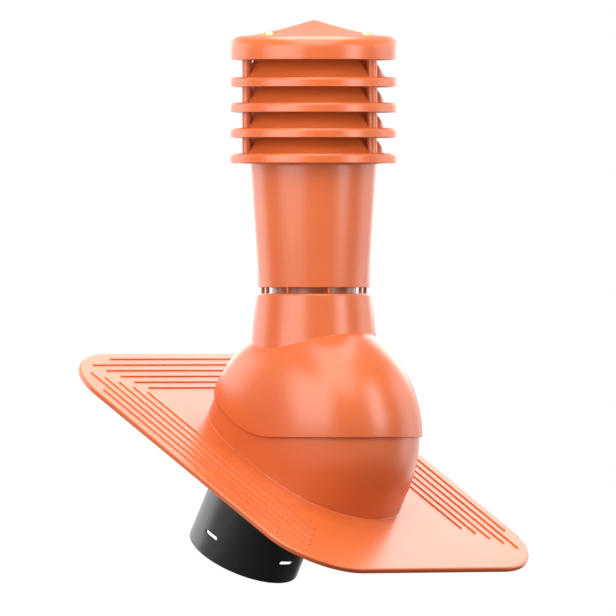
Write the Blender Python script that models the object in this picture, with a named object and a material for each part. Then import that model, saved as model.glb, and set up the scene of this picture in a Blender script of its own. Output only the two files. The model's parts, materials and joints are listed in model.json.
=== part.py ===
"""A plastic roof vent: a flashing plate for a pitched roof, with a stack that stands upright on it.

Metres, +Z up, at real size. The roof falls towards -Y. The origin is the middle of the flashing's lower edge,
on the plane where its turned-down edge rests on the roof. Two frames carry the pieces: roof_frame is tilted
by the roof's pitch and holds what is fixed to the roof, and tilt_axis is upright and holds the stack, which
turns about it when the vent is set to a roof of another pitch.
"""

from math import cos, pi, radians, sin, tan

import bmesh
import bpy
from mathutils import Matrix, Vector

ROOF_PITCH = radians(30)
GAP = 0.0003
FACETS = 28

# Flashing plate: a sheet with a turned-down edge
PLATE_WIDTH = 0.449
PLATE_LENGTH = 0.556
PLATE_CORNER = 0.096
PLATE_CORNER_STEPS = 8
PLATE_SHEET = 0.003
EDGE_HEIGHT = 0.0065
EDGE_WALL = 0.003

# Water ribs along the upper edge and both side edges of the plate
RIB_COUNT = 6
RIB_FOOT = 0.0026
RIB_CREST = 0.0012
RIB_HEIGHT = 0.0016
RIB_FIRST = 0.0155
RIB_PITCH = 0.0149
OUTER_RIB_END = 0.094
SECOND_RIB_END = 0.0495
RIB_END_STEP = 0.0128

# Fat disc that the stack tilts on: a lower shell on the plate, inside the hood of the stack
TILT_HEIGHT = 0.035
DISC_RADIUS = 0.153
DISC_HALF_WIDTH = 0.104
DISC_BULGE = 2.8
DISC_WALL = 0.003
DISC_STEPS = 16
WINDOW_HALF_WIDTH = 0.072
WINDOW_FRONT = radians(58)
WINDOW_BACK = radians(150)

# Hood and collar
HOOD_CLEARANCE = 0.001
HOOD_WALL = 0.003
HOOD_DROP = 0.004
HOOD_EDGE_FILLET = 0.135
HOOD_EDGE_STEPS = 6
COLLAR_FOOT = 0.100
COLLAR_FOOT_RADIUS = 0.083
COLLAR_TOP = 0.1863
COLLAR_TOP_RADIUS = 0.075
COLLAR_EDGE = 0.003
COLLAR_EDGE_STEPS = 3
COLLAR_MOUTH_RADIUS = 0.062

# Spigot under the plate, for the ventilation duct
SPIGOT_RADIUS = 0.075
SPIGOT_WALL = 0.003
SPIGOT_LENGTH = 0.163
SPIGOT_OFFSET = 0.036
SPIGOT_FLANGE_RADIUS = 0.084
SPIGOT_FLANGE = 0.003
SLOT_LENGTH = 0.024
SLOT_WIDTH = 0.0056
SLOT_HEIGHT = 0.030
SLOT_FLAT = 0.00011  # left straight between the two rounds of a slot's end
SLOT_END_STEPS = 3

# Stack tube: outer wall, head flange and inner duct in one
TUBE_RISE = 0.0081
TUBE_FOOT_RADIUS = 0.0728
TUBE_HEAD_RADIUS = 0.084
TUBE_WALL = 0.003
TUBE_LENGTH = 0.1606
HEAD_RADIUS = 0.0975
HEAD_LIP_HEIGHT = 0.0106
HEAD_LIP_WALL = 0.0025
DUCT_RADIUS = 0.055
DUCT_WALL = 0.0025
DUCT_DROP = 0.0794
LEG_COUNT = 8
LEG_RADIUS = 0.069
LEG_DEPTH = 0.0045
LEG_WIDTH = 0.0028
LEG_ROOT = 0.006
LEG_TURN = radians(16)

# Louvre rings
RING_COUNT = 4
RING_PITCH = 0.0330
RING_RADIUS = 0.111
RING_HEIGHT = 0.0125
RING_WALL = 0.0025
RING_EDGE = 0.004
RING_EDGE_STEPS = 2
CONE_FOOT_RADIUS = 0.096
CONE_HEAD_RADIUS = 0.074
CONE_ANGLE = radians(51)
POST_COUNT = 3
POST_RADIUS = 0.0065
ROD_FACETS = 8
POST_CIRCLE = 0.0945
POST_ANGLE = radians(37.9)

# Cap and its screws
CAP_PITCH = 0.0352
CAP_RADIUS = 0.1105
CAP_WALL = 0.0025
CAP_RIM = 0.0141
CAP_SHOULDER = 0.017
CAP_SHOULDER_STEPS = 4
CAP_PEAK = 0.0218
CAP_SWEEP = 1.4
CAP_SLOPE_STEPS = 3
CAP_TIP_RADIUS = 0.004
CAP_TIP_ROUNDING = 0.0006
BOSS_LENGTH = 0.010
SEAT_RADIUS = 0.0078
SCREW_COUNT = 3
SCREW_CIRCLE = 0.0732
SCREW_ANGLE = radians(52)
SCREW_BOSS_RADIUS = 0.013
SCREW_RECESS_RADIUS = 0.0105
SCREW_HEAD_RADIUS = 0.008
SCREW_HEAD = 0.0046
SCREW_HEAD_SIDE = 0.0014
SCREW_SHANK_RADIUS = 0.0024
SCREW_SHANK = 0.0095

# Places that follow from the sizes above, in the roof's frame and above the tilt axis
plate_middle = (PLATE_LENGTH - EDGE_WALL) / 2
tilt_level = EDGE_HEIGHT + TILT_HEIGHT
tube_foot = COLLAR_TOP + TUBE_RISE
head_level = tube_foot + TUBE_LENGTH
ring_underside = RING_HEIGHT - RING_WALL
first_ring = head_level + HEAD_LIP_HEIGHT + GAP - ring_underside
last_ring = first_ring + (RING_COUNT - 1) * RING_PITCH
cap_foot = last_ring + CAP_PITCH
cap_top = CAP_RIM + CAP_SHOULDER
boss_foot = cap_foot + cap_top - CAP_WALL - BOSS_LENGTH


def clear_scene():
    for old in list(bpy.data.objects):
        bpy.data.objects.remove(old, do_unlink=True)


def surface_material(name, colour, roughness, metallic=0.0):
    surface = bpy.data.materials.new(name)
    surface.use_nodes = True
    shader = surface.node_tree.nodes["Principled BSDF"]
    shader.inputs["Base Color"].default_value = (*colour, 1.0)
    shader.inputs["Roughness"].default_value = roughness
    shader.inputs["Metallic"].default_value = metallic
    return surface


def frame_empty(name, location, turn):
    empty = bpy.data.objects.new(name, None)
    empty.location = location
    empty.rotation_euler = (turn, 0.0, 0.0)
    bpy.context.collection.objects.link(empty)
    return empty


def finished(name, bm, surface, parent, location=(0.0, 0.0, 0.0)):
    """An object with this bmesh as its shape, its faces pointing out."""
    bmesh.ops.remove_doubles(bm, verts=bm.verts, dist=1e-6)
    bmesh.ops.recalc_face_normals(bm, faces=bm.faces)
    mesh = bpy.data.meshes.new(name)
    bm.to_mesh(mesh)
    bm.free()
    mesh.shade_smooth()
    mesh.set_sharp_from_angle(angle=radians(35))
    mesh.materials.append(surface)
    obj = bpy.data.objects.new(name, mesh)
    obj.parent = parent
    obj.location = location
    bpy.context.collection.objects.link(obj)
    return obj


def combine(target, operation, *tools):
    """Joins each tool to the target or cuts it away, and keeps the tools as guides only."""
    for tool in tools:
        step = target.modifiers.new(tool.name, "BOOLEAN")
        step.operation = operation
        step.solver = "EXACT"
        step.object = tool
        tool.hide_render = True
        tool.display_type = "WIRE"


def arc(centre, radius, start, end, steps):
    """Points on an arc, from one angle to another."""
    turns = [start + (end - start) * i / steps for i in range(steps + 1)]
    return [(centre[0] + radius * cos(t), centre[1] + radius * sin(t)) for t in turns]


def inset(path, wall):
    """The same path moved to its right by the wall."""
    points = [Vector(point) for point in path]
    inner = []
    for i, point in enumerate(points):
        ways = [points[i] - points[i - 1]] if i > 0 else []
        ways += [points[i + 1] - points[i]] if i + 1 < len(points) else []
        if i == 0 and point.x == 0:
            ways.append(Vector((ways[0].x, -ways[0].y)))
        sides = [Vector((way.y, -way.x)).normalized() for way in ways]
        mitre = sides[0] + sides[-1]
        inner.append(point + mitre * wall / (1 + sides[0].dot(sides[-1])))
    return inner


def turned(name, section, surface, parent, location=(0.0, 0.0, 0.0), facets=FACETS):
    """A section of (radius, height) points turned about Z. It is closed unless it ends on the axis."""
    bm = bmesh.new()
    verts = [bm.verts.new((r, 0.0, z)) for r, z in section]
    edges = [bm.edges.new(pair) for pair in zip(verts, verts[1:])]
    if section[0][0] > 0:
        edges.append(bm.edges.new((verts[-1], verts[0])))
    bmesh.ops.spin(
        bm, geom=verts + edges, axis=(0, 0, 1), cent=(0, 0, 0), angle=2 * pi, steps=facets, use_merge=True
    )
    return finished(name, bm, surface, parent, location)


def rods(name, radius, low, high, circle, angles, surface, parent):
    """Upright round bars on a circle, as one guide for a Boolean."""
    bm = bmesh.new()
    for angle in angles:
        bmesh.ops.create_cone(
            bm,
            cap_ends=True,
            segments=ROD_FACETS,
            radius1=radius,
            radius2=radius,
            depth=high - low,
            matrix=Matrix.Translation((circle * cos(angle), circle * sin(angle), (low + high) / 2)),
        )
    return finished(name, bm, surface, parent)


def round_rectangle(name, width, length, corner, low, high, surface, parent, middle):
    """A plate with rounded corners between two levels."""
    bm = bmesh.new()
    bmesh.ops.create_grid(bm, x_segments=1, y_segments=1, size=0.5)
    bmesh.ops.scale(bm, vec=(width, length, 1), verts=bm.verts)
    bmesh.ops.bevel(
        bm,
        geom=bm.verts[:],
        offset=corner,
        affect="VERTICES",
        segments=PLATE_CORNER_STEPS,
        profile=0.5,
        material=-1,
    )
    bmesh.ops.translate(bm, vec=(0, middle, low), verts=bm.verts)
    grown = bmesh.ops.extrude_face_region(bm, geom=bm.faces[:])
    raised = [item for item in grown["geom"] if isinstance(item, bmesh.types.BMVert)]
    bmesh.ops.translate(bm, vec=(0, 0, high - low), verts=raised)
    return finished(name, bm, surface, parent)


def extruded(name, outline, half_width, surface, parent, location):
    """An outline of (y, z) points made a solid between two planes across X."""
    bm = bmesh.new()
    bm.faces.new([bm.verts.new((-half_width, y, z)) for y, z in outline])
    grown = bmesh.ops.extrude_face_region(bm, geom=bm.faces[:])
    far = [item for item in grown["geom"] if isinstance(item, bmesh.types.BMVert)]
    bmesh.ops.translate(bm, vec=(2 * half_width, 0, 0), verts=far)
    return finished(name, bm, surface, parent, location)


def disc(name, radius, half_width, turn, surface, parent, location, foot=0.0):
    """The fat disc about the X axis. Half a turn of it stands on straight walls as tall as foot."""
    bm = bmesh.new()
    turns = [pi * i / DISC_STEPS for i in range(DISC_STEPS + 1)]
    verts = [
        bm.verts.new((half_width * cos(t), radius * max(sin(t), 0.0) ** (2 / DISC_BULGE), 0.0)) for t in turns
    ]
    edges = [bm.edges.new(pair) for pair in zip(verts, verts[1:])]
    steps = round(2 * DISC_STEPS * turn / (2 * pi))
    bmesh.ops.spin(
        bm, geom=verts + edges, axis=(1, 0, 0), cent=(0, 0, 0), angle=turn, steps=steps, use_merge=foot == 0
    )
    bmesh.ops.remove_doubles(bm, verts=bm.verts, dist=1e-6)
    if foot > 0:
        rim = [edge for edge in bm.edges if edge.is_boundary]
        grown = bmesh.ops.extrude_edge_only(bm, edges=rim)
        lowered = [item for item in grown["geom"] if isinstance(item, bmesh.types.BMVert)]
        bmesh.ops.translate(bm, vec=(0, 0, -foot), verts=lowered)
        bmesh.ops.edgeloop_fill(bm, edges=[edge for edge in bm.edges if edge.is_boundary])
    return finished(name, bm, surface, parent, location)


def rib_bars(surface, parent):
    """The water ribs: bars with sloping sides, the upper ones across the roof and the side ones along it."""
    bm = bmesh.new()
    half_width = PLATE_WIDTH / 2
    half_length = PLATE_LENGTH / 2
    for i in range(RIB_COUNT):
        inset = RIB_FIRST + i * RIB_PITCH
        end = OUTER_RIB_END if i == 0 else SECOND_RIB_END + (i - 1) * RIB_END_STEP
        across = Matrix.Translation((0, half_length - inset, 0))
        along = Matrix.Rotation(pi / 2, 4, "Z")
        left = Matrix.Translation((inset - half_width, 0, 0)) @ along
        right = Matrix.Translation((half_width - inset, 0, 0)) @ along
        for place, half in ((across, half_width - end), (left, half_length - end), (right, half_length - end)):
            rib_bar(bm, half, Matrix.Translation((0, plate_middle, EDGE_HEIGHT)) @ place)
    return finished("rib_bars", bm, surface, parent)


def rib_bar(bm, half_length, place):
    """One bar, sunk into the sheet by half the sheet's thickness."""
    box = bmesh.ops.create_cube(bm, size=1.0)["verts"]
    sunk = PLATE_SHEET / 2
    for vert in box:
        top = vert.co.z > 0
        width = RIB_CREST if top else RIB_FOOT
        taper = (RIB_FOOT - width) / 2
        vert.co.x *= 2 * (half_length - taper)
        vert.co.y *= width
        vert.co.z = RIB_HEIGHT if top else -sunk
    bmesh.ops.transform(bm, matrix=place, verts=box)


def make_flashing(surface, roof):
    """Plate, ribs and lower shell are one moulding."""
    flashing = round_rectangle(
        "flashing", PLATE_WIDTH, PLATE_LENGTH, PLATE_CORNER, 0.0, EDGE_HEIGHT, surface, roof, plate_middle
    )
    underside = round_rectangle(
        "plate_underside",
        PLATE_WIDTH - 2 * EDGE_WALL,
        PLATE_LENGTH - 2 * EDGE_WALL,
        PLATE_CORNER - EDGE_WALL,
        -EDGE_HEIGHT,
        EDGE_HEIGHT - PLATE_SHEET,
        surface,
        roof,
        plate_middle,
    )
    centre = (0, plate_middle, tilt_level)
    sunk = TILT_HEIGHT + PLATE_SHEET / 2
    outside = disc("shell_outside", DISC_RADIUS, DISC_HALF_WIDTH, pi, surface, roof, centre, sunk)
    inner_radius = DISC_RADIUS - DISC_WALL
    inner_width = DISC_HALF_WIDTH - DISC_WALL
    inside = disc("shell_inside", inner_radius, inner_width, pi, surface, roof, centre, TILT_HEIGHT)
    reach = 2 * DISC_RADIUS
    middle = (WINDOW_FRONT + WINDOW_BACK) / 2
    corners = [(-reach * cos(turn), reach * sin(turn)) for turn in (WINDOW_FRONT, middle, WINDOW_BACK)]
    window = extruded("shell_window", [(0.0, 0.0)] + corners, WINDOW_HALF_WIDTH, surface, roof, centre)
    hole_radius = SPIGOT_RADIUS + GAP
    hole_section = [
        (0.0, -EDGE_HEIGHT),
        (hole_radius, -EDGE_HEIGHT),
        (hole_radius, 2 * EDGE_HEIGHT),
        (0.0, 2 * EDGE_HEIGHT),
    ]
    hole = turned("spigot_hole", hole_section, surface, roof, (0, plate_middle + SPIGOT_OFFSET, 0))
    combine(flashing, "DIFFERENCE", underside)
    combine(flashing, "UNION", outside, rib_bars(surface, roof))
    combine(flashing, "DIFFERENCE", inside, window, hole)


def make_spigot(surface, roof):
    """A straight tube through the plate, hung on its flange and slotted near its lower end."""
    bore = SPIGOT_RADIUS - SPIGOT_WALL
    section = [
        (bore, -SPIGOT_LENGTH),
        (SPIGOT_RADIUS, -SPIGOT_LENGTH),
        (SPIGOT_RADIUS, GAP),
        (SPIGOT_FLANGE_RADIUS, GAP),
        (SPIGOT_FLANGE_RADIUS, GAP + SPIGOT_FLANGE),
        (bore, GAP + SPIGOT_FLANGE),
    ]
    place = (0, plate_middle + SPIGOT_OFFSET, EDGE_HEIGHT)
    spigot = turned("spigot", section, surface, roof, place)
    for name, turn in (("slots_across", 0.0), ("slots_along", pi / 2)):
        bm = bmesh.new()
        bmesh.ops.create_grid(bm, x_segments=1, y_segments=1, size=0.5)
        bmesh.ops.scale(bm, vec=(SLOT_LENGTH, SLOT_WIDTH, 1), verts=bm.verts)
        bmesh.ops.bevel(
            bm,
            geom=bm.verts[:],
            offset=(SLOT_WIDTH - SLOT_FLAT) / 2,
            affect="VERTICES",
            segments=SLOT_END_STEPS,
            profile=0.5,
            material=-1,
        )
        bmesh.ops.rotate(bm, matrix=Matrix.Rotation(pi / 2, 3, "X"), verts=bm.verts)
        bmesh.ops.translate(bm, vec=(0, -2 * SPIGOT_RADIUS, SLOT_HEIGHT - SPIGOT_LENGTH), verts=bm.verts)
        grown = bmesh.ops.extrude_face_region(bm, geom=bm.faces[:])
        far = [item for item in grown["geom"] if isinstance(item, bmesh.types.BMVert)]
        bmesh.ops.translate(bm, vec=(0, 4 * SPIGOT_RADIUS, 0), verts=far)
        bmesh.ops.rotate(bm, matrix=Matrix.Rotation(turn, 3, "Z"), verts=bm.verts)
        combine(spigot, "DIFFERENCE", finished(name, bm, surface, roof, place))


def make_hood(surface, tilt):
    """The upper shell of the disc and the collar above it are one moulding, open below."""
    here = (0, 0, 0)
    inner_radius = DISC_RADIUS + HOOD_CLEARANCE
    inner_width = DISC_HALF_WIDTH + HOOD_CLEARANCE
    full = 2 * pi
    hood = disc("hood", inner_radius + HOOD_WALL, inner_width + HOOD_WALL, full, surface, tilt, here)
    inside = disc("hood_inside", inner_radius, inner_width, full, surface, tilt, here)
    edge_centre = (COLLAR_TOP_RADIUS - COLLAR_EDGE, COLLAR_TOP - COLLAR_EDGE)
    collar_section = (
        [(0.0, COLLAR_FOOT), (COLLAR_FOOT_RADIUS, COLLAR_FOOT)]
        + arc(edge_centre, COLLAR_EDGE, 0, pi / 2, COLLAR_EDGE_STEPS)
        + [(0.0, COLLAR_TOP)]
    )
    collar = turned("collar_outside", collar_section, surface, tilt)
    lip_underside = COLLAR_TOP - HOOD_WALL
    bore_section = [
        (0.0, COLLAR_FOOT),
        (COLLAR_FOOT_RADIUS - HOOD_WALL, COLLAR_FOOT),
        (COLLAR_TOP_RADIUS - HOOD_WALL, lip_underside),
        (COLLAR_MOUTH_RADIUS, lip_underside),
        (COLLAR_MOUTH_RADIUS, COLLAR_TOP + COLLAR_EDGE),
        (0.0, COLLAR_TOP + COLLAR_EDGE),
    ]
    bore = turned("collar_bore", bore_section, surface, tilt)
    reach = 2 * DISC_RADIUS
    corner = HOOD_DROP / sin(ROOF_PITCH)
    tangent = HOOD_EDGE_FILLET * tan(ROOF_PITCH / 2)
    centre = (corner - tangent, HOOD_EDGE_FILLET)
    bend = arc(centre, HOOD_EDGE_FILLET, -pi / 2, ROOF_PITCH - pi / 2, HOOD_EDGE_STEPS)
    outline = (
        [(-reach, 0.0)]
        + bend
        + [(corner + reach * cos(ROOF_PITCH), reach * sin(ROOF_PITCH)), (reach, -reach), (-reach, -reach)]
    )
    skirt = extruded("hood_skirt", outline, reach, surface, tilt, here)
    combine(hood, "UNION", collar)
    combine(hood, "DIFFERENCE", inside, bore, skirt)


def make_stack_tube(surface, tilt):
    """Outer wall, head flange with its lip, inner duct and the feet that stand on the collar, in one moulding."""
    inner_duct = DUCT_RADIUS - DUCT_WALL
    duct_foot = tube_foot - DUCT_DROP
    head_top = head_level + TUBE_WALL
    section = [
        (TUBE_FOOT_RADIUS, tube_foot),
        (TUBE_HEAD_RADIUS, head_level),
        (HEAD_RADIUS, head_level),
        (HEAD_RADIUS, head_level + HEAD_LIP_HEIGHT),
        (HEAD_RADIUS - HEAD_LIP_WALL, head_level + HEAD_LIP_HEIGHT),
        (HEAD_RADIUS - HEAD_LIP_WALL, head_top),
        (inner_duct, head_top),
        (inner_duct, duct_foot),
        (DUCT_RADIUS, duct_foot),
        (DUCT_RADIUS, head_level),
        (TUBE_HEAD_RADIUS - TUBE_WALL, head_level),
        (TUBE_FOOT_RADIUS - TUBE_WALL, tube_foot),
    ]
    tube = turned("stack_tube", section, surface, tilt)
    bm = bmesh.new()
    low = COLLAR_TOP + GAP
    high = tube_foot + LEG_ROOT
    for i in range(LEG_COUNT):
        leg = bmesh.ops.create_cube(bm, size=1.0)["verts"]
        bmesh.ops.scale(bm, vec=(LEG_DEPTH, LEG_WIDTH, high - low), verts=leg)
        bmesh.ops.translate(bm, vec=(LEG_RADIUS, 0, (low + high) / 2), verts=leg)
        turn = Matrix.Rotation(LEG_TURN + 2 * pi * i / LEG_COUNT, 3, "Z")
        bmesh.ops.rotate(bm, matrix=turn, verts=leg)
    combine(tube, "UNION", finished("tube_legs", bm, surface, tilt))


def make_louvre_ring(number, surface, tilt):
    """A rain ring: rim, flat shoulder and a cone that rises inwards, with posts for the ring or cap above."""
    foot = first_ring + (number - 1) * RING_PITCH
    edge_centre = (RING_RADIUS - RING_EDGE, foot + RING_HEIGHT - RING_EDGE)
    cone_rise = (CONE_FOOT_RADIUS - CONE_HEAD_RADIUS) * tan(CONE_ANGLE)
    path = (
        [(CONE_HEAD_RADIUS, foot + RING_HEIGHT + cone_rise), (CONE_FOOT_RADIUS, foot + RING_HEIGHT)]
        + arc(edge_centre, RING_EDGE, pi / 2, 0, RING_EDGE_STEPS)
        + [(RING_RADIUS, foot)]
    )
    ring = turned(f"louvre_ring_{number}", path + inset(path, RING_WALL)[::-1], surface, tilt)
    last = number == RING_COUNT
    seat = boss_foot if last else foot + RING_PITCH + ring_underside
    low = foot + RING_HEIGHT - RING_WALL / 2
    angles = [POST_ANGLE + 2 * pi * i / POST_COUNT for i in range(POST_COUNT)]
    posts = rods(f"posts_{number}", POST_RADIUS, low, seat - GAP, POST_CIRCLE, angles, surface, tilt)
    combine(ring, "UNION", posts)


def make_cap(surface, tilt):
    """The rain cap: a hollow-sided cone with a rounded shoulder, on seats and bosses, with screw recesses."""
    top = cap_foot + cap_top
    shoulder = CAP_RADIUS - CAP_SHOULDER
    run = shoulder - CAP_TIP_RADIUS
    slope = []
    for i in range(CAP_SLOPE_STEPS):
        radius = CAP_TIP_RADIUS + run * i / CAP_SLOPE_STEPS
        slope.append((radius, top + CAP_PEAK * (1 - radius / shoulder) ** CAP_SWEEP))
    path = (
        [(0.0, slope[0][1] + CAP_TIP_ROUNDING)]
        + slope
        + arc((shoulder, cap_foot + CAP_RIM), CAP_SHOULDER, pi / 2, 0, CAP_SHOULDER_STEPS)
        + [(CAP_RADIUS, cap_foot)]
    )
    cap = turned("cap", path + [(0.0, cap_foot)], surface, tilt)
    below = cap_foot - CAP_RIM
    hollow = inset(path, CAP_WALL) + [(CAP_RADIUS - CAP_WALL, below), (0.0, below)]
    inside = turned("cap_hollow", hollow, surface, tilt)
    sky = top + CAP_PEAK
    seat_angles = [POST_ANGLE + 2 * pi * i / POST_COUNT for i in range(POST_COUNT)]
    seats = rods("post_seats", SEAT_RADIUS, boss_foot, sky, POST_CIRCLE, seat_angles, surface, tilt)
    angles = [SCREW_ANGLE + 2 * pi * i / SCREW_COUNT for i in range(SCREW_COUNT)]
    bosses = rods("screw_bosses", SCREW_BOSS_RADIUS, boss_foot, sky, SCREW_CIRCLE, angles, surface, tilt)
    recesses = rods("screw_recesses", SCREW_RECESS_RADIUS, top, sky, SCREW_CIRCLE, angles, surface, tilt)
    hole_radius = SCREW_SHANK_RADIUS + GAP
    hole_foot = top - SCREW_SHANK - GAP
    holes = rods("screw_holes", hole_radius, hole_foot, sky, SCREW_CIRCLE, angles, surface, tilt)
    combine(inside, "DIFFERENCE", seats, bosses)
    combine(cap, "DIFFERENCE", inside, recesses, holes)
    return top, angles


def make_screws(floor, angles, surface, tilt):
    """Pan-head screws that sit in the cap's recesses."""
    crown = SCREW_HEAD - SCREW_HEAD_SIDE
    section = [
        (0.0, GAP - SCREW_SHANK),
        (SCREW_SHANK_RADIUS, GAP - SCREW_SHANK),
        (SCREW_SHANK_RADIUS, GAP),
        (SCREW_HEAD_RADIUS, GAP),
        (SCREW_HEAD_RADIUS, GAP + SCREW_HEAD_SIDE),
        (SCREW_HEAD_RADIUS * cos(pi / 4), GAP + SCREW_HEAD_SIDE + crown * sin(pi / 4)),
        (0.0, GAP + SCREW_HEAD),
    ]
    for i, angle in enumerate(angles):
        place = (SCREW_CIRCLE * cos(angle), SCREW_CIRCLE * sin(angle), floor)
        turned(f"cap_screw_{i + 1}", section, surface, tilt, place, ROD_FACETS)


clear_scene()
terracotta = surface_material("terracotta_plastic", (0.80, 0.21, 0.07), 0.38)
black = surface_material("black_plastic", (0.02, 0.02, 0.02), 0.35)
yellow_zinc = surface_material("yellow_zinc_steel", (0.72, 0.58, 0.22), 0.3, 1.0)

roof_frame = frame_empty("roof_frame", (0, 0, 0), ROOF_PITCH)
tilt_point = Matrix.Rotation(ROOF_PITCH, 3, "X") @ Vector((0, plate_middle, tilt_level))
tilt_axis = frame_empty("tilt_axis", tilt_point, 0)

make_flashing(terracotta, roof_frame)
make_spigot(black, roof_frame)
make_hood(terracotta, tilt_axis)
make_stack_tube(terracotta, tilt_axis)
for ring_number in range(1, RING_COUNT + 1):
    make_louvre_ring(ring_number, terracotta, tilt_axis)
screw_floor, screw_angles = make_cap(terracotta, tilt_axis)
make_screws(screw_floor, screw_angles, yellow_zinc, tilt_axis)
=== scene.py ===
import json
from math import atan2, cos, hypot, pi, radians, sin, tan

import bmesh
import bpy
from mathutils import Matrix, Vector


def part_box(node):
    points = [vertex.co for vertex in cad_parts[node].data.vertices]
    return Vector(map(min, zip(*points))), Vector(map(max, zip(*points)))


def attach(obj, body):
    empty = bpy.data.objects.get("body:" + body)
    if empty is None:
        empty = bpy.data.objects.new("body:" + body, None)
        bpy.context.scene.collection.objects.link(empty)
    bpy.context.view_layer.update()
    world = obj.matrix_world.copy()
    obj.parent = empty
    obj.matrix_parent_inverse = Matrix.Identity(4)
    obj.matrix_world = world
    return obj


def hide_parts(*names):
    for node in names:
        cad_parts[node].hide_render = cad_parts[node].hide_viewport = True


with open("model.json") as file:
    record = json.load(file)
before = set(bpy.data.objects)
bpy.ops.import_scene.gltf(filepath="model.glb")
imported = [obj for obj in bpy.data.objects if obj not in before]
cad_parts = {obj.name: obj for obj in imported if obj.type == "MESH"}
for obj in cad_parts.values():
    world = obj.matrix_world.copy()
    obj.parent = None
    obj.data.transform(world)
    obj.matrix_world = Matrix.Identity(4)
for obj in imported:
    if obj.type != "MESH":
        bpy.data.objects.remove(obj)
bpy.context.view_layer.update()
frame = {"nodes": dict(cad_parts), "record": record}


# Where the vent stands
# The plate lies on a roof that falls towards -Y, and everything on it is placed from the middle of its lower
# edge, where the frame has its origin. The stack stands upright over the tilt axis, which runs along X.
seat = next(mount for mount in frame["record"]["mounts"] if mount["name"] == "roof_seat")
joint = next(joint for joint in frame["record"]["behaviour"]["joints"] if joint["name"] == "roof_pitch")
ROOF_PITCH = atan2(seat["axis"][1], -seat["axis"][2])
tilt_point = Vector(joint["pos_m"])
on_roof = Matrix.Rotation(ROOF_PITCH, 4, "X")
upright = Matrix.Translation(tilt_point)
tilt_in_roof = on_roof.inverted() @ tilt_point


# Flashing: plate, water ribs and lower shell
# One injection moulding in terracotta polypropylene. The plate has a rolled edge and thin water ribs, and the
# lower half of a fat disc grows out of it with a small fillet, open at the top where the duct passes.
PLATE_WIDTH = 0.449
PLATE_LENGTH = 0.556
PLATE_CORNER = 0.096
PLATE_SHEET = 0.003
EDGE_HEIGHT = 0.0065
EDGE_WALL = 0.003
EDGE_ROUND = 0.0022
EDGE_FOOT_ROUND = 0.0007
EDGE_INNER_FILLET = 0.001
SHELL_RADIUS = 0.153
SHELL_HALF_WIDTH = 0.104
SHELL_WALL = 0.003
SHELL_TOP_LIFT = radians(58)  # how high round the disc the shell's top edge lies, in front
SHELL_TOP_DROP = radians(28)  # how much lower that edge lies behind
SHELL_TOP_BEND = 3
SHELL_TOP_ROUND = 0.001
SHELL_INNER_FILLET = 0.002
DISC_BULGE = 2.8
FOOT_FILLET = 0.0008
HOLE_RADIUS = 0.0753
HOLE_OFFSET = 0.036
HOLE_EDGE_ROUND = 0.0004
RIB_COUNT = 6
RIB_FOOT = 0.0026
RIB_HEIGHT = 0.0016
RIB_CREST_ROUND = 0.0009
RIB_FIRST = 0.0155
RIB_PITCH = 0.0149
OUTER_RIB_END = 0.094
SECOND_RIB_END = 0.0495
RIB_END_STEP = 0.0128
SHELL_ROWS = 26
PLATE_COLUMNS = 320
CORNER_STEPS = 4
BESIDE_ROUND = 1.25  # a point this many reaches from a corner keeps the face beside its round flat
SHARP_ANGLE = radians(30)
SAME_POINT = 1e-7
ALMOST_ZERO = 1e-9
HALVINGS = 36
TERRACOTTA_LIGHT = "#C45D2C"
TERRACOTTA_DEEP = "#BF5828"
FLOW_CLOUD_SCALE = 9.0  # clouds of about 110 mm, as the melt leaves them
GRAIN_SCALE = 900.0  # a real grain of about 0.1 mm can't show at this distance, so it is about 1 mm
GRAIN_DEPTH = 0.0003
GLOSS_SPREAD = 0.04
PLASTIC_IOR = 1.56  # typical mouldings have about 1.5, and the photo's sheen asks for a little more


def linear(colour):
    """An sRGB hex value as the linear colour that a shader takes."""
    parts = [int(colour[i : i + 2], 16) / 255 for i in (1, 3, 5)]
    return [p / 12.92 if p <= 0.04045 else ((p + 0.055) / 1.055) ** 2.4 for p in parts] + [1.0]


def add_node(tree, kind, settings=None, **inputs):
    """A node with its settings, and its inputs as values or as the sockets that feed them."""
    node = tree.nodes.new(kind)
    for name, value in (settings or {}).items():
        setattr(node, name, value)
    for name, value in inputs.items():
        socket = node.inputs[name.replace("_", " ")]
        if isinstance(value, bpy.types.NodeSocket):
            tree.links.new(value, socket)
        else:
            socket.default_value = value
    return node


def moulded_plastic(name, light, deep, roughness, grain):
    """Injection-moulded plastic: even colour, faint flow clouds and a fine grain from the steel mould."""
    surface = bpy.data.materials.new(name)
    surface.use_nodes = True
    tree = surface.node_tree
    shader = tree.nodes["Principled BSDF"]
    shader.inputs["IOR"].default_value = PLASTIC_IOR
    place = add_node(tree, "ShaderNodeTexCoord").outputs["Object"]
    clouds = add_node(
        tree, "ShaderNodeTexNoise", Vector=place, Scale=FLOW_CLOUD_SCALE, Detail=3.0, Roughness=0.5
    )
    ramp = add_node(tree, "ShaderNodeValToRGB", Fac=clouds.outputs["Fac"])
    ramp.color_ramp.elements[0].position = 0.35
    ramp.color_ramp.elements[0].color = linear(deep)
    ramp.color_ramp.elements[1].position = 0.65
    ramp.color_ramp.elements[1].color = linear(light)
    tree.links.new(ramp.outputs["Color"], shader.inputs["Base Color"])
    spark = add_node(tree, "ShaderNodeTexNoise", Vector=place, Scale=GRAIN_SCALE, Detail=2.0).outputs["Fac"]
    gloss = add_node(
        tree,
        "ShaderNodeMapRange",
        Value=spark,
        To_Min=roughness - GLOSS_SPREAD,
        To_Max=roughness + GLOSS_SPREAD,
    )
    tree.links.new(gloss.outputs["Result"], shader.inputs["Roughness"])
    bump = add_node(tree, "ShaderNodeBump", Height=spark, Strength=grain, Distance=GRAIN_DEPTH)
    tree.links.new(bump.outputs["Normal"], shader.inputs["Normal"])
    return surface


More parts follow.
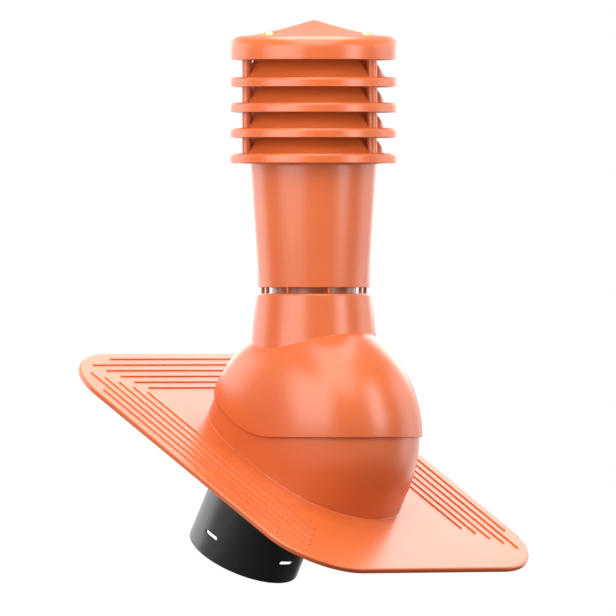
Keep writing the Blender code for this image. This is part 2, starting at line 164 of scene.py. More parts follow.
def rounded(corners):
    """A closed section with each corner (r, z, radius) rounded, and a close point beside each round end."""
    section = []
    for i, (r, z, radius) in enumerate(corners):
        corner = Vector((r, z))
        if radius == 0:
            section.append(corner)
            continue
        back = (Vector(corners[i - 1][:2]) - corner).normalized()
        on = (Vector(corners[(i + 1) % len(corners)][:2]) - corner).normalized()
        half = back.angle(on) / 2
        reach = radius / tan(half)
        middle = corner + (back + on).normalized() * (radius / sin(half))
        first = corner + back * reach - middle
        last = corner + on * reach - middle
        section.append(corner + back * reach * BESIDE_ROUND)
        for step in range(CORNER_STEPS + 1):
            section.append(middle + first.slerp(last, step / CORNER_STEPS) * radius)
        section.append(corner + on * reach * BESIDE_ROUND)
    return section


def spin_round(bm, geom, columns):
    """One full turn about Z, closed on itself."""
    bmesh.ops.spin(
        bm, geom=geom, axis=(0, 0, 1), cent=(0, 0, 0), angle=2 * pi, steps=columns, use_merge=True
    )


def lofted(section_at, columns, place):
    """A ring spun about Z, with each column moved to the section that the angle asks for."""
    sections = [section_at(2 * pi * i / columns) for i in range(columns)]
    bm = bmesh.new()
    rows = [bm.verts.new((1.0, 0.0, float(row))) for row in range(len(sections[0]))]
    loop = [bm.edges.new(pair) for pair in zip(rows, rows[1:] + rows[:1])]
    spin_round(bm, rows + loop, columns)
    for vert in bm.verts:
        angle = atan2(vert.co.y, vert.co.x)
        r, z = sections[round(angle * columns / (2 * pi)) % columns][round(vert.co.z)]
        vert.co = (r * cos(angle), r * sin(angle), z)
    bmesh.ops.transform(bm, matrix=place, verts=bm.verts)
    return bm


def turned(section, columns, place):
    """A section turned about Z, closed unless it starts on the axis."""
    bm = bmesh.new()
    verts = [bm.verts.new((r, 0.0, z)) for r, z in section]
    edges = [bm.edges.new(pair) for pair in zip(verts, verts[1:])]
    if section[0][0] > 0:
        edges.append(bm.edges.new((verts[-1], verts[0])))
    spin_round(bm, verts + edges, columns)
    bmesh.ops.transform(bm, matrix=place, verts=bm.verts)
    return bm


def pour_into(whole, part):
    """The part's faces added to the whole, and the part freed."""
    held = bpy.data.meshes.new("held")
    part.to_mesh(held)
    part.free()
    whole.from_mesh(held)
    bpy.data.meshes.remove(held)


def as_object(name, bm, surface=None):
    """The bmesh as a smooth object with sharp creases, at the origin."""
    bmesh.ops.remove_doubles(bm, verts=bm.verts, dist=SAME_POINT)
    bmesh.ops.recalc_face_normals(bm, faces=bm.faces)
    mesh = bpy.data.meshes.new(name)
    bm.to_mesh(mesh)
    bm.free()
    mesh.shade_smooth()
    mesh.set_sharp_from_angle(angle=SHARP_ANGLE)
    if surface:
        mesh.materials.append(surface)
    made = bpy.data.objects.new(name, mesh)
    bpy.context.scene.collection.objects.link(made)
    return made


def combined(piece, *steps):
    """The piece after its Boolean steps, each (operation, bmesh), as one plain mesh."""
    tools = []
    for i, (operation, bm) in enumerate(steps):
        tool = as_object(f"{piece.name}_tool_{i}", bm)
        step = piece.modifiers.new(tool.name, "BOOLEAN")
        step.operation = operation
        step.solver = "EXACT"
        step.object = tool
        tools.append(tool)
    graph = bpy.context.evaluated_depsgraph_get()
    result = bpy.data.meshes.new_from_object(piece.evaluated_get(graph), depsgraph=graph)
    piece.modifiers.clear()
    piece.data = result
    for tool in tools:
        bpy.data.objects.remove(tool, do_unlink=True)
    result.shade_smooth()
    result.set_sharp_from_angle(angle=SHARP_ANGLE)
    return piece


def solve(low, high, rises):
    """The value between low and high where a rising function passes zero."""
    for _ in range(HALVINGS):
        middle = (low + high) / 2
        if rises(middle) < 0:
            low = middle
        else:
            high = middle
    return (low + high) / 2


def disc_excess(x, y, z, radius, half_width):
    """Below zero inside the fat disc about the X axis, above it outside."""
    return (x / half_width) ** 2 + (hypot(y, z) / radius) ** DISC_BULGE - 1


def disc_point(angle, lift, radius, half_width):
    """Distance from the stack's axis and height of the disc's surface, seen from its centre."""
    x, y, z = cos(lift) * cos(angle), cos(lift) * sin(angle), sin(lift)
    inside, outside = 0.5 * half_width, 1.1 * radius
    reach = solve(inside, outside, lambda t: disc_excess(t * x, t * y, t * z, radius, half_width))
    return reach * cos(lift), reach * sin(lift)


def plate_reach(angle, inset):
    """From the plate's middle to its rounded outline, moved in by the inset."""
    x, y = abs(cos(angle)), abs(sin(angle))
    corner = PLATE_CORNER - inset
    half_width = PLATE_WIDTH / 2 - inset
    half_length = PLATE_LENGTH / 2 - inset
    reach = min(half_width / max(x, ALMOST_ZERO), half_length / max(y, ALMOST_ZERO))
    centre = (half_width - corner, half_length - corner)
    if reach * x > centre[0] and reach * y > centre[1]:
        along = x * centre[0] + y * centre[1]
        reach = along + (along**2 - centre[0] ** 2 - centre[1] ** 2 + corner**2) ** 0.5
    return reach


def hole_reach(angle):
    """From the plate's middle to the edge of the spigot's hole, which lies off centre."""
    along = HOLE_OFFSET * sin(angle)
    return along + (along**2 - HOLE_OFFSET**2 + HOLE_RADIUS**2) ** 0.5


def flashing_section(angle):
    """From the shell's top edge down its outside, over the plate and back under it and up the inside."""
    top_lift = SHELL_TOP_LIFT - SHELL_TOP_DROP * max(sin(angle), 0.0) ** SHELL_TOP_BEND
    lifts = [top_lift * (1 - row / SHELL_ROWS) for row in range(SHELL_ROWS + 1)]
    outer = [disc_point(angle, lift, SHELL_RADIUS, SHELL_HALF_WIDTH) for lift in lifts]
    inner_size = (SHELL_RADIUS - SHELL_WALL, SHELL_HALF_WIDTH - SHELL_WALL)
    inner = [disc_point(angle, lift, *inner_size) for lift in reversed(lifts)]
    level = tilt_in_roof.z
    underside = EDGE_HEIGHT - PLATE_SHEET
    corners = [(outer[0][0], outer[0][1] + level, SHELL_TOP_ROUND)]
    corners += [(r, z + level, 0) for r, z in outer[1:]]
    corners += [
        (outer[-1][0], EDGE_HEIGHT, FOOT_FILLET),
        (plate_reach(angle, 0), EDGE_HEIGHT, EDGE_ROUND),
        (plate_reach(angle, 0), 0, EDGE_FOOT_ROUND),
        (plate_reach(angle, EDGE_WALL), 0, EDGE_FOOT_ROUND),
        (plate_reach(angle, EDGE_WALL), underside, EDGE_INNER_FILLET),
        (hole_reach(angle), underside, HOLE_EDGE_ROUND),
        (hole_reach(angle), EDGE_HEIGHT, HOLE_EDGE_ROUND),
        (inner[0][0], EDGE_HEIGHT, SHELL_INNER_FILLET),
    ]
    corners += [(r, z + level, 0) for r, z in inner[:-1]]
    corners.append((inner[-1][0], inner[-1][1] + level, SHELL_TOP_ROUND))
    return rounded(corners)


def water_ribs(place):
    """Bars with a rounded crest, sunk half way into the sheet."""
    ribs = bmesh.new()
    half_width = PLATE_WIDTH / 2
    half_length = PLATE_LENGTH / 2
    sunk = PLATE_SHEET / 2
    along = Matrix.Rotation(pi / 2, 4, "Z")
    for i in range(RIB_COUNT):
        inset = RIB_FIRST + i * RIB_PITCH
        end = OUTER_RIB_END if i == 0 else SECOND_RIB_END + (i - 1) * RIB_END_STEP
        spots = [
            (half_width - end, Matrix.Translation((0, half_length - inset, 0))),
            (half_length - end, Matrix.Translation((inset - half_width, 0, 0)) @ along),
            (half_length - end, Matrix.Translation((half_width - inset, 0, 0)) @ along),
        ]
        for half, spot in spots:
            bar = bmesh.new()
            bmesh.ops.create_cube(bar, size=1.0)
            bmesh.ops.scale(bar, vec=(2 * half, RIB_FOOT, RIB_HEIGHT + sunk), verts=bar.verts)
            bmesh.ops.translate(bar, vec=(0, 0, (RIB_HEIGHT - sunk) / 2), verts=bar.verts)
            bmesh.ops.bevel(
                bar,
                geom=[edge for edge in bar.edges if all(vert.co.z > 0 for vert in edge.verts)],
                offset=RIB_CREST_ROUND,
                affect="EDGES",
                segments=3,
                profile=0.5,
                material=-1,
            )
            bmesh.ops.transform(bar, matrix=place @ spot, verts=bar.verts)
            pour_into(ribs, bar)
    return ribs


terracotta = moulded_plastic(
    "moulded_terracotta_polypropylene",
    light=TERRACOTTA_LIGHT,
    deep=TERRACOTTA_DEEP,
    roughness=0.30,
    grain=0.25,
)
plate_middle = on_roof @ Matrix.Translation((0, tilt_in_roof.y, 0))
flashing = as_object(
    "flashing_moulding", lofted(flashing_section, PLATE_COLUMNS, plate_middle), terracotta
)
combined(flashing, ("UNION", water_ribs(plate_middle @ Matrix.Translation((0, 0, EDGE_HEIGHT)))))
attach(flashing, "base")
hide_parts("flashing")


# Spigot
# A straight black polypropylene tube that hangs through the plate on a thin flange, for the duct below the
# roof. Four short slots near its end take the tabs of a clamp or a reducer.
SPIGOT_RADIUS = 0.075
SPIGOT_WALL = 0.003
SPIGOT_LENGTH = 0.163
SPIGOT_EDGE_ROUND = 0.0008
SPIGOT_ENTRY_ROUND = 0.0012
SPIGOT_FLANGE_RADIUS = 0.084
SPIGOT_FLANGE = 0.003
SPIGOT_FLANGE_FILLET = 0.0002
SPIGOT_FLANGE_FOOT_ROUND = 0.0005
SPIGOT_GAP = 0.0003
SLOT_LENGTH = 0.024
SLOT_WIDTH = 0.0056
SLOT_ROUND = 0.49 * SLOT_WIDTH
SLOT_HEIGHT = 0.030
SPIGOT_COLUMNS = 192
BLACK_LIGHT = "#2E2E2E"
BLACK_DEEP = "#292929"


def slot_bar(turn, place):
    """A flat bar with round ends that cuts the two slots opposite each other."""
    bm = bmesh.new()
    bmesh.ops.create_grid(bm, x_segments=1, y_segments=1, size=0.5)
    bmesh.ops.scale(bm, vec=(SLOT_LENGTH, SLOT_WIDTH, 1), verts=bm.verts)
    bmesh.ops.bevel(
        bm, geom=bm.verts[:], offset=SLOT_ROUND, affect="VERTICES", segments=8, profile=0.5, material=-1
    )
    grown = bmesh.ops.extrude_face_region(bm, geom=bm.faces[:])
    far = [item for item in grown["geom"] if isinstance(item, bmesh.types.BMVert)]
    bmesh.ops.translate(bm, vec=(0, 0, 4 * SPIGOT_RADIUS), verts=far)
    bmesh.ops.translate(bm, vec=(0, 0, -2 * SPIGOT_RADIUS), verts=bm.verts)
    sideways = Matrix.Rotation(turn, 4, "Z") @ Matrix.Rotation(pi / 2, 4, "X")
    lift = Matrix.Translation((0, 0, SLOT_HEIGHT - SPIGOT_LENGTH))
    bmesh.ops.transform(bm, matrix=place @ lift @ sideways, verts=bm.verts)
    return bm


black = moulded_plastic(
    "moulded_black_polypropylene", light=BLACK_LIGHT, deep=BLACK_DEEP, roughness=0.34, grain=0.3
)
spigot_place = plate_middle @ Matrix.Translation((0, HOLE_OFFSET, EDGE_HEIGHT))
spigot_bore = SPIGOT_RADIUS - SPIGOT_WALL
spigot_corners = [
    (spigot_bore, -SPIGOT_LENGTH, SPIGOT_EDGE_ROUND),
    (SPIGOT_RADIUS, -SPIGOT_LENGTH, SPIGOT_EDGE_ROUND),
    (SPIGOT_RADIUS, SPIGOT_GAP, SPIGOT_FLANGE_FILLET),
    (SPIGOT_FLANGE_RADIUS, SPIGOT_GAP, SPIGOT_FLANGE_FOOT_ROUND),
    (SPIGOT_FLANGE_RADIUS, SPIGOT_GAP + SPIGOT_FLANGE, SPIGOT_EDGE_ROUND),
    (spigot_bore, SPIGOT_GAP + SPIGOT_FLANGE, SPIGOT_ENTRY_ROUND),
]
spigot = as_object("spigot_tube", turned(rounded(spigot_corners), SPIGOT_COLUMNS, spigot_place), black)
combined(
    spigot,
    ("DIFFERENCE", slot_bar(0, spigot_place)),
    ("DIFFERENCE", slot_bar(pi / 2, spigot_place)),
)
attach(spigot, "base")
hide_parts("spigot")


# Hood and collar
# One terracotta moulding that sits over the lower shell and turns on it. Its lower edge is level in front and
# follows the roof behind, and a short conical collar rises from a crisp crease on top.
HOOD_CLEARANCE = 0.001
HOOD_WALL = 0.003
HOOD_DROP = 0.004
HOOD_EDGE_FILLET = 0.135
HOOD_EDGE_ROUND = 0.0009
HOOD_EDGE_BETWEEN = (radians(-20), radians(50))
CREASE_FILLET = 0.0012
CREASE_BETWEEN = (0.05, 0.17)
COLLAR_FOOT = 0.100
COLLAR_FOOT_RADIUS = 0.083
COLLAR_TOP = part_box("hood")[1].z - tilt_point.z
COLLAR_TOP_RADIUS = 0.075
COLLAR_EDGE = 0.003
COLLAR_INNER_FILLET = 0.001
COLLAR_MOUTH_RADIUS = 0.062
COLLAR_MOUTH_FOOT_ROUND = 0.0006
COLLAR_MOUTH_TOP_ROUND = 0.0008
HOOD_ROWS = 36
HOOD_COLUMNS = 288


def collar_radius(z):
    """The collar's slightly conical outside."""
    return COLLAR_TOP_RADIUS + (COLLAR_FOOT_RADIUS - COLLAR_TOP_RADIUS) * (COLLAR_TOP - z) / (
        COLLAR_TOP - COLLAR_EDGE - COLLAR_FOOT
    )


def edge_level(y):
    """Height of the hood's lower edge: level, then a wide bend, then parallel to the roof."""
    corner = HOOD_DROP / sin(ROOF_PITCH)
    bend_start = corner - HOOD_EDGE_FILLET * tan(ROOF_PITCH / 2)
    bend_end = bend_start + HOOD_EDGE_FILLET * sin(ROOF_PITCH)
    if y <= bend_start:
        return 0.0
    if y < bend_end:
        return HOOD_EDGE_FILLET - (HOOD_EDGE_FILLET**2 - (y - bend_start) ** 2) ** 0.5
    return (y - corner) * tan(ROOF_PITCH)


def hood_curve(angle, wall):
    """The upper shell from the collar's crease down to the lower edge, the wall's depth inside."""
    radius = SHELL_RADIUS + HOOD_CLEARANCE + HOOD_WALL - wall
    half_width = SHELL_HALF_WIDTH + HOOD_CLEARANCE + HOOD_WALL - wall

    def outside_collar(z):
        r = collar_radius(z) - wall
        return disc_excess(r * cos(angle), r * sin(angle), z, radius, half_width)

    def over_edge(lift):
        r, z = disc_point(angle, lift, radius, half_width)
        return z - edge_level(r * sin(angle))

    crease = solve(*CREASE_BETWEEN, outside_collar)
    top = atan2(crease, collar_radius(crease) - wall)
    bottom = solve(*HOOD_EDGE_BETWEEN, over_edge)
    lifts = [top + (bottom - top) * row / HOOD_ROWS for row in range(HOOD_ROWS + 1)]
    return [disc_point(angle, lift, radius, half_width) for lift in lifts]


def hood_section(angle):
    """Down the outside, round the lower edge, up the inside and over the collar's lip."""
    outer = hood_curve(angle, 0.0)
    inner = hood_curve(angle, HOOD_WALL)[::-1]
    lip_underside = COLLAR_TOP - HOOD_WALL
    corners = [(*outer[0], CREASE_FILLET)]
    corners += [(r, z, 0) for r, z in outer[1:-1]]
    corners += [(*outer[-1], HOOD_EDGE_ROUND), (*inner[0], HOOD_EDGE_ROUND)]
    corners += [(r, z, 0) for r, z in inner[1:-1]]
    corners += [
        (*inner[-1], CREASE_FILLET),
        (COLLAR_TOP_RADIUS - HOOD_WALL, lip_underside, COLLAR_INNER_FILLET),
        (COLLAR_MOUTH_RADIUS, lip_underside, COLLAR_MOUTH_FOOT_ROUND),
        (COLLAR_MOUTH_RADIUS, COLLAR_TOP, COLLAR_MOUTH_TOP_ROUND),
        (COLLAR_TOP_RADIUS, COLLAR_TOP, COLLAR_EDGE),
    ]
    return rounded(corners)


hood = as_object("hood_and_collar", lofted(hood_section, HOOD_COLUMNS, upright), terracotta)
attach(hood, "stack")
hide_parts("hood")


# Stack tube
# The slightly conical outer pipe, its head flange and the inner duct are one terracotta moulding. Eight small
# feet under the outer wall stand on the collar's lip and leave an open gap, through which the duct shows.
TUBE_RISE = 0.0081
TUBE_FOOT_RADIUS = 0.0728
TUBE_HEAD_RADIUS = 0.084
TUBE_WALL = 0.003
TUBE_EDGE_ROUND = 0.0008
HEAD_LIP_HEIGHT = 0.0106
HEAD_LIP_WALL = 0.0025
HEAD_FILLET = 0.002
HEAD_INNER_FILLET = 0.001
THIN_EDGE_ROUND = 0.0006
DUCT_RADIUS = 0.055
DUCT_WALL = 0.0025
DUCT_MOUTH_ROUND = 0.0012
LEG_COUNT = 8
LEG_RADIUS = 0.069
LEG_DEPTH = 0.0045
LEG_WIDTH = 0.0028
LEG_ROOT = 0.006
LEG_TURN = radians(16)
LEG_GAP = 0.0003
LEG_EDGE_ROUND = 0.0006
TUBE_COLUMNS = 192


def tube_feet(low, high, place):
    """Small blocks from the collar's lip up into the outer wall, with their edges rounded."""
    feet = bmesh.new()
    for i in range(LEG_COUNT):
        foot = bmesh.new()
        bmesh.ops.create_cube(foot, size=1.0)
        bmesh.ops.scale(foot, vec=(LEG_DEPTH, LEG_WIDTH, high - low), verts=foot.verts)
        bmesh.ops.bevel(
            foot,
            geom=foot.edges[:],
            offset=LEG_EDGE_ROUND,
            affect="EDGES",
            segments=2,
            profile=0.5,
            material=-1,
        )
        around = Matrix.Rotation(LEG_TURN + 2 * pi * i / LEG_COUNT, 4, "Z")
        spot = around @ Matrix.Translation((LEG_RADIUS, 0, (low + high) / 2))
        bmesh.ops.transform(foot, matrix=place @ spot, verts=foot.verts)
        pour_into(feet, foot)
    return feet


tube_low, tube_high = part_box("stack_tube")
tube_foot = COLLAR_TOP + TUBE_RISE
head_top = tube_high.z - tilt_point.z
head_level = head_top - HEAD_LIP_HEIGHT
head_radius = tube_high.x
duct_foot = tube_low.z - tilt_point.z
tube_corners = [
    (TUBE_FOOT_RADIUS, tube_foot, TUBE_EDGE_ROUND),
    (TUBE_HEAD_RADIUS, head_level, HEAD_FILLET),
    (head_radius, head_level, TUBE_EDGE_ROUND),
    (head_radius, head_top, THIN_EDGE_ROUND),
    (head_radius - HEAD_LIP_WALL, head_top, THIN_EDGE_ROUND),
    (head_radius - HEAD_LIP_WALL, head_level + TUBE_WALL, HEAD_INNER_FILLET),
    (DUCT_RADIUS - DUCT_WALL, head_level + TUBE_WALL, DUCT_MOUTH_ROUND),
    (DUCT_RADIUS - DUCT_WALL, duct_foot, THIN_EDGE_ROUND),
    (DUCT_RADIUS, duct_foot, THIN_EDGE_ROUND),
    (DUCT_RADIUS, head_level, HEAD_INNER_FILLET),
    (TUBE_HEAD_RADIUS - TUBE_WALL, head_level, HEAD_INNER_FILLET),
    (TUBE_FOOT_RADIUS - TUBE_WALL, tube_foot, TUBE_EDGE_ROUND),
]
stack_tube = as_object("stack_pipe", turned(rounded(tube_corners), TUBE_COLUMNS, upright), terracotta)
combined(stack_tube, ("UNION", tube_feet(COLLAR_TOP + LEG_GAP, tube_foot + LEG_ROOT, upright)))
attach(stack_tube, "stack")
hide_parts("stack_tube")


# Louvre rings
# Four thin terracotta mouldings stacked on round posts. Each has an upright rim with a rounded top edge, a
# flat shoulder and a cone that rises inwards and throws rain back out.
RING_WALL = 0.0025
RING_EDGE = 0.0042
RING_FOOT_ROUND = 0.0007
RING_INNER_FILLET = 0.002
RING_HEIGHT = 0.0125
CONE_FOOT_RADIUS = 0.096
CONE_HEAD_RADIUS = 0.074
CONE_ANGLE = radians(51)
CONE_HEAD_ROUND = 0.0008
CONE_FILLET = 0.0015
CONE_INNER_FILLET = 0.0012
POST_RADIUS = 0.0065
POST_CIRCLE = 0.0945
POST_ANGLES = [radians(37.9) + 2 * pi * i / 3 for i in range(3)]
POST_SEGMENTS = 40
RING_COLUMNS = 192


def rods(radius, low, high, circle, angles, segments, place):
    """Upright round bars on a circle."""
    bm = bmesh.new()
    for angle in angles:
        spot = Matrix.Translation((circle * cos(angle), circle * sin(angle), (low + high) / 2))
        bmesh.ops.create_cone(
            bm,
            cap_ends=True,
            segments=segments,
            radius1=radius,
            radius2=radius,
            depth=high - low,
            matrix=place @ spot,
        )
    return bm


ring_names = [node for node in frame["nodes"] if node.startswith("louvre_ring")]
for node in ring_names:
    ring_low, ring_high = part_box(node)
    ring_radius = ring_high.x
    foot = ring_low.z - tilt_point.z
    shoulder = foot + RING_HEIGHT
    underside = shoulder - RING_WALL
    cone_head = shoulder + (CONE_FOOT_RADIUS - CONE_HEAD_RADIUS) * tan(CONE_ANGLE)
    slant = RING_WALL * tan(CONE_ANGLE / 2)
    across, down = RING_WALL * sin(CONE_ANGLE), RING_WALL * cos(CONE_ANGLE)
    ring_corners = [
        (CONE_HEAD_RADIUS, cone_head, CONE_HEAD_ROUND),
        (CONE_FOOT_RADIUS, shoulder, CONE_FILLET),
        (ring_radius, shoulder, RING_EDGE),
        (ring_radius, foot, RING_FOOT_ROUND),
        (ring_radius - RING_WALL, foot, RING_FOOT_ROUND),
        (ring_radius - RING_WALL, underside, RING_INNER_FILLET),
        (CONE_FOOT_RADIUS - slant, underside, CONE_INNER_FILLET),
        (CONE_HEAD_RADIUS - across, cone_head - down, CONE_HEAD_ROUND),
    ]
    ring = as_object(f"{node}_moulding", turned(rounded(ring_corners), RING_COLUMNS, upright), terracotta)
    post_foot = shoulder - RING_WALL / 2
    post_top = ring_high.z - tilt_point.z
    posts = rods(POST_RADIUS, post_foot, post_top, POST_CIRCLE, POST_ANGLES, POST_SEGMENTS, upright)
    combined(ring, ("UNION", posts))
    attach(ring, "stack")
    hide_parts(node)


# Cap
# The rain cap is a thin terracotta moulding: a cone with hollow sides that runs out into a rounded shoulder
# and an upright rim. It has round recesses for three screws, over bosses, and seats below that stand on the
# posts.
CAP_WALL = 0.0025
CAP_RIM = 0.0141
CAP_RIM_EDGE = 0.0007
CAP_SHOULDER = 0.017
CAP_PEAK = 0.0218
CAP_SWEEP = 1.4
CAP_TIP_ROUND = 0.0035
CAP_SLOPE_ROWS = 40
CAP_SHOULDER_ROWS = 16
BOSS_LENGTH = 0.010
SEAT_RADIUS = 0.0078
SCREW_CIRCLE = 0.0732
SCREW_BOSS_RADIUS = 0.013
SCREW_RECESS_RADIUS = 0.0105
SCREW_RECESS_SEGMENTS = 64
SCREW_HOLE_RADIUS = 0.0027
SCREW_HOLE_SPARE = 0.0003
SCREW_HOLE_SEGMENTS = 24
SCREW_SHANK = 0.0095
SCREW_ANGLES = [radians(52) + 2 * pi * i / 3 for i in range(3)]
CAP_COLUMNS = 224

cap_low, cap_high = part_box("cap")
cap_radius = cap_high.x
cap_foot = cap_low.z - tilt_point.z
cap_shoulder = cap_foot + CAP_RIM + CAP_SHOULDER
cap_sky = cap_shoulder + CAP_PEAK
boss_foot = cap_shoulder - CAP_WALL - BOSS_LENGTH
hole_foot = cap_shoulder - SCREW_SHANK - SCREW_HOLE_SPARE


def cap_top():
    """The cap's outside, from its rounded tip out over the slope and the shoulder to the rim."""
    run = cap_radius - CAP_SHOULDER
    points = []
    for row in range(CAP_SLOPE_ROWS):
        r = run * row / CAP_SLOPE_ROWS
        share = max(1 - hypot(r, CAP_TIP_ROUND) / run, 0.0)
        points.append(Vector((r, cap_shoulder + CAP_PEAK * share**CAP_SWEEP)))
    for row in range(CAP_SHOULDER_ROWS + 1):
        turn = pi / 2 * row / CAP_SHOULDER_ROWS
        r = run + CAP_SHOULDER * sin(turn)
        points.append(Vector((r, cap_foot + CAP_RIM + CAP_SHOULDER * cos(turn))))
    return points


def below_by(points, depth):
    """The same points moved in by a depth, square to the line that they follow."""
    moved = []
    for i, point in enumerate(points):
        before = points[i - 1] if i else Vector((-points[1].x, points[1].y))
        after = points[i + 1] if i + 1 < len(points) else point - Vector((0, 1))
        way = (after - before).normalized()
        moved.append(point + Vector((way.y, -way.x)) * depth)
    moved[0].x = 0.0
    return moved


def rim_edge(radius, side):
    """A small round from an upright face to the rim's underside, towards the axis (1) or outwards (-1)."""
    points = []
    for step in range(CORNER_STEPS + 1):
        turn = pi / 2 * step / CORNER_STEPS
        r = radius - side * CAP_RIM_EDGE * (1 - cos(turn))
        points.append(Vector((r, cap_foot + CAP_RIM_EDGE * (1 - sin(turn)))))
    return points


def screw_rods(radius, foot, segments):
    """Bars on the screws' circle, from a level up past the cap's tip."""
    return rods(radius, foot, cap_sky, SCREW_CIRCLE, SCREW_ANGLES, segments, upright)


cap_outside = cap_top()
inner_radius = cap_radius - CAP_WALL
hollow_foot = cap_foot - CAP_RIM
hollow_section = below_by(cap_outside, CAP_WALL) + rim_edge(inner_radius, -1)
hollow_section += [Vector((inner_radius + CAP_RIM_EDGE, hollow_foot)), Vector((0, hollow_foot))]
cap_hollow = as_object("cap_hollow", turned(hollow_section, CAP_COLUMNS, upright))
seats = rods(SEAT_RADIUS, boss_foot, cap_sky, POST_CIRCLE, POST_ANGLES, POST_SEGMENTS, upright)
combined(
    cap_hollow,
    ("DIFFERENCE", seats),
    ("DIFFERENCE", screw_rods(SCREW_BOSS_RADIUS, boss_foot, SCREW_RECESS_SEGMENTS)),
)
hollow = bmesh.new()
hollow.from_mesh(cap_hollow.data)
bpy.data.objects.remove(cap_hollow, do_unlink=True)
cap_section = cap_outside + rim_edge(cap_radius, 1) + [Vector((0, cap_foot))]
cap = as_object("cap_moulding", turned(cap_section, CAP_COLUMNS, upright), terracotta)
combined(
    cap,
    ("DIFFERENCE", hollow),
    ("DIFFERENCE", screw_rods(SCREW_RECESS_RADIUS, cap_shoulder, SCREW_RECESS_SEGMENTS)),
    ("DIFFERENCE", screw_rods(SCREW_HOLE_RADIUS, hole_foot, SCREW_HOLE_SEGMENTS)),
)
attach(cap, "stack")
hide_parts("cap")


# Cap screws
# Pan-head steel screws with yellow zinc plating, each with a cross recess, seated in the cap's round
# recesses. Each is driven home at a turn of its own.
SCREW_HEAD_RADIUS = 0.008
SCREW_HEAD = 0.0046
SCREW_HEAD_SIDE = 0.25  # the share of the head's height that is its upright side
SCREW_HEAD_DOME = 0.7
SCREW_HEAD_STEPS = 10
SCREW_SHANK_RADIUS = 0.0024
SCREW_TIP = 0.6  # the tip's radius as a share of the shank's
SCREW_THREAD = 0.85  # the share of the shank above the tip's slope
SCREW_SEAT = 0.0003
SCREW_TWIST = radians(25)
SCREW_COLUMNS = 40
CROSS_WIDTH = 0.0019
CROSS_REACH = 0.0043
CROSS_DEPTH = 0.0024
YELLOW_ZINC = "#F1DC86"
ROSE_ZINC = "#E6C060"
GREEN_ZINC = "#DDDB92"
ZINC_CLOUD_SCALE = 260.0  # clouds of about 4 mm


def zinc_plated_steel():
    """Yellow chromated zinc: a soft metal shine with faint clouds of rose and green in the passivation."""
    surface = bpy.data.materials.new("yellow_zinc_plated_steel")
    surface.use_nodes = True
    tree = surface.node_tree
    shader = tree.nodes["Principled BSDF"]
    shader.inputs["Metallic"].default_value = 1.0
    shader.inputs["Roughness"].default_value = 0.34
    place = add_node(tree, "ShaderNodeTexCoord").outputs["Object"]
    clouds = add_node(tree, "ShaderNodeTexNoise", Vector=place, Scale=ZINC_CLOUD_SCALE, Detail=2.0)
    ramp = add_node(tree, "ShaderNodeValToRGB", Fac=clouds.outputs["Fac"])
    ramp.color_ramp.elements[0].position = 0.3
    ramp.color_ramp.elements[0].color = linear(ROSE_ZINC)
    ramp.color_ramp.elements[1].position = 0.7
    ramp.color_ramp.elements[1].color = linear(GREEN_ZINC)
    middle = ramp.color_ramp.elements.new(0.5)
    middle.color = linear(YELLOW_ZINC)
    tree.links.new(ramp.outputs["Color"], shader.inputs["Base Color"])
    return surface


def cross_bar(turn, place):
    """One bar of the cross that presses the driver recess into the head."""
    bm = bmesh.new()
    bmesh.ops.create_cube(bm, size=1.0)
    bmesh.ops.scale(bm, vec=(2 * CROSS_REACH, CROSS_WIDTH, 2 * CROSS_DEPTH), verts=bm.verts)
    lift = Matrix.Translation((0, 0, SCREW_SEAT + SCREW_HEAD)) @ Matrix.Rotation(turn, 4, "Z")
    bmesh.ops.transform(bm, matrix=place @ lift, verts=bm.verts)
    return bm


zinc = zinc_plated_steel()
screw_section = [
    (0.0, SCREW_SEAT - SCREW_SHANK),
    (SCREW_TIP * SCREW_SHANK_RADIUS, SCREW_SEAT - SCREW_SHANK),
    (SCREW_SHANK_RADIUS, SCREW_SEAT - SCREW_THREAD * SCREW_SHANK),
    (SCREW_SHANK_RADIUS, SCREW_SEAT),
    (SCREW_HEAD_RADIUS, SCREW_SEAT),
]
for step in range(SCREW_HEAD_STEPS):
    turn = pi / 2 * step / SCREW_HEAD_STEPS
    rise = SCREW_HEAD_SIDE + (1 - SCREW_HEAD_SIDE) * sin(turn)
    head_reach = SCREW_HEAD_RADIUS * cos(turn) ** SCREW_HEAD_DOME
    screw_section.append((head_reach, SCREW_SEAT + SCREW_HEAD * rise))
screw_section.append((0.0, SCREW_SEAT + SCREW_HEAD))
for i, angle in enumerate(SCREW_ANGLES):
    spot = Matrix.Translation((SCREW_CIRCLE * cos(angle), SCREW_CIRCLE * sin(angle), cap_shoulder))
    driven = upright @ spot @ Matrix.Rotation(SCREW_TWIST * (i + 1), 4, "Z")
    screw = as_object(f"cap_screw_{i + 1}_pan_head", turned(screw_section, SCREW_COLUMNS, driven), zinc)
    combined(screw, ("DIFFERENCE", cross_bar(0, driven)), ("DIFFERENCE", cross_bar(pi / 2, driven)))
    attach(screw, "stack")
    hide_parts(f"cap_screw_{i + 1}")


# Studio
# A pale floor far below the vent, a white surround, soft boxes in front, above, at both sides and behind,
# and a long lens that looks level at the vent, with the roof's slope running right and towards the camera.
CAMERA_AZIMUTH = radians(-45)
PHOTO_SIZE = 616
PIXEL = 0.0013
AIM_PIXELS = (308, 308)  # the middle of the picture
TILT_PIXELS = (314, 437)  # where the tilt axis shows in it
LENS = 1400.0
SENSOR = 36.0
CLIP_END = 200
FLOOR_LEVEL = -0.25
FLOOR_RADIUS = 4.8
FLAG_RADIUS = 1.3
FLAG_LEVEL = FLOOR_LEVEL + 0.01
SURROUND_GLOW = 0.4
BACKDROP_GLOW = 1.0

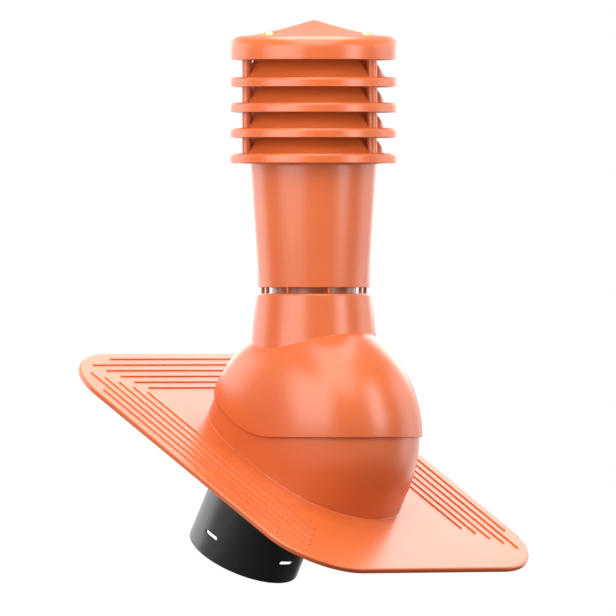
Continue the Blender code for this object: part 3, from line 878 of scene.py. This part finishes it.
to_camera = Vector((sin(CAMERA_AZIMUTH), -cos(CAMERA_AZIMUTH), 0))
to_right = Vector((cos(CAMERA_AZIMUTH), sin(CAMERA_AZIMUTH), 0))
aim = tilt_point + to_right * (AIM_PIXELS[0] - TILT_PIXELS[0]) * PIXEL
aim.z += (TILT_PIXELS[1] - AIM_PIXELS[1]) * PIXEL
camera_data = bpy.data.cameras.new("camera")
camera_data.lens = LENS
camera_data.sensor_width = SENSOR
camera_data.clip_end = CLIP_END
camera = bpy.data.objects.new("camera", camera_data)
camera.location = aim + to_camera * (PHOTO_SIZE * PIXEL * LENS / SENSOR)
camera.rotation_euler = (pi / 2, 0, CAMERA_AZIMUTH)
bpy.context.scene.collection.objects.link(camera)
bpy.context.scene.camera = camera


def stage_disc(name, radius, level, colour):
    """A round sheet of matt paper or cloth."""
    shape = bmesh.new()
    bmesh.ops.create_circle(shape, cap_ends=True, segments=96, radius=radius)
    bmesh.ops.translate(shape, vec=(aim.x, aim.y, level), verts=shape.verts)
    cloth = bpy.data.materials.new(f"{name}_matt")
    cloth.use_nodes = True
    shader = cloth.node_tree.nodes["Principled BSDF"]
    shader.inputs["Base Color"].default_value = linear(colour)
    shader.inputs["Roughness"].default_value = 0.9
    sheet = as_object(name, shape, cloth)
    return sheet


def soft_box(name, turn, lift, distance, width, height, radiance):
    """A rectangular area light: turned from the camera's direction, to the right above zero, and lifted."""
    turn, lift = radians(turn), radians(lift)
    direction = (to_right * sin(turn) + to_camera * cos(turn)) * cos(lift) + Vector((0, 0, sin(lift)))
    light = bpy.data.lights.new(name, "AREA")
    light.shape = "RECTANGLE"
    light.size = width
    light.size_y = height
    light.energy = radiance * pi * width * height
    box = bpy.data.objects.new(name, light)
    box.location = aim + direction * distance
    box.rotation_euler = direction.to_track_quat("Z", "Y").to_euler()
    box.visible_camera = False
    bpy.context.scene.collection.objects.link(box)


stage_disc("studio_floor", FLOOR_RADIUS, FLOOR_LEVEL, "#F2F2F2")
flag = stage_disc("black_flag", FLAG_RADIUS, FLAG_LEVEL, "#202020")
flag.visible_camera = False
flag.visible_shadow = False

# Name, turn and lift in degrees, distance, width and height in metres, and radiance.
for box_facts in (
    ("front_left_box", -40, 18, 1.3, 1.15, 0.95, 4.2),
    ("front_right_box", 54, 18, 1.3, 0.42, 0.95, 6.2),
    ("front_top_box", 0, 55, 2.0, 1.5, 1.5, 3.6),
    ("top_box", 180, 80, 2.2, 1.6, 1.6, 7.2),
    ("back_left_box", -143, 5, 2.0, 1.3, 1.8, 1.5),
    ("left_box", -114, 8, 2.0, 0.9, 1.8, 2.4),
    ("back_right_box", 143, 5, 2.0, 1.3, 1.8, 1.1),
    ("right_box", 108, 8, 2.0, 1.0, 1.8, 2.2),
    ("back_panel", 165, 38, 2.6, 3.6, 2.2, 0.4),
    ("back_low_strip", 174, 21, 0.61, 0.9, 0.42, 2.6),
):
    soft_box(*box_facts)

world = bpy.data.worlds.new("white_surround")
world.use_nodes = True
bpy.context.scene.world = world
tree = world.node_tree
ambient = tree.nodes["Background"]
ambient.inputs["Color"].default_value = (1, 1, 1, 1)
ambient.inputs["Strength"].default_value = SURROUND_GLOW
backdrop = add_node(tree, "ShaderNodeBackground", Color=(1, 1, 1, 1), Strength=BACKDROP_GLOW)
seen = add_node(tree, "ShaderNodeLightPath").outputs["Is Camera Ray"]
mixed = add_node(tree, "ShaderNodeMixShader", Fac=seen)
tree.links.new(ambient.outputs[0], mixed.inputs[1])
tree.links.new(backdrop.outputs[0], mixed.inputs[2])
tree.links.new(mixed.outputs[0], tree.nodes["World Output"].inputs["Surface"])
bpy.context.scene.view_settings.view_transform = "Standard"
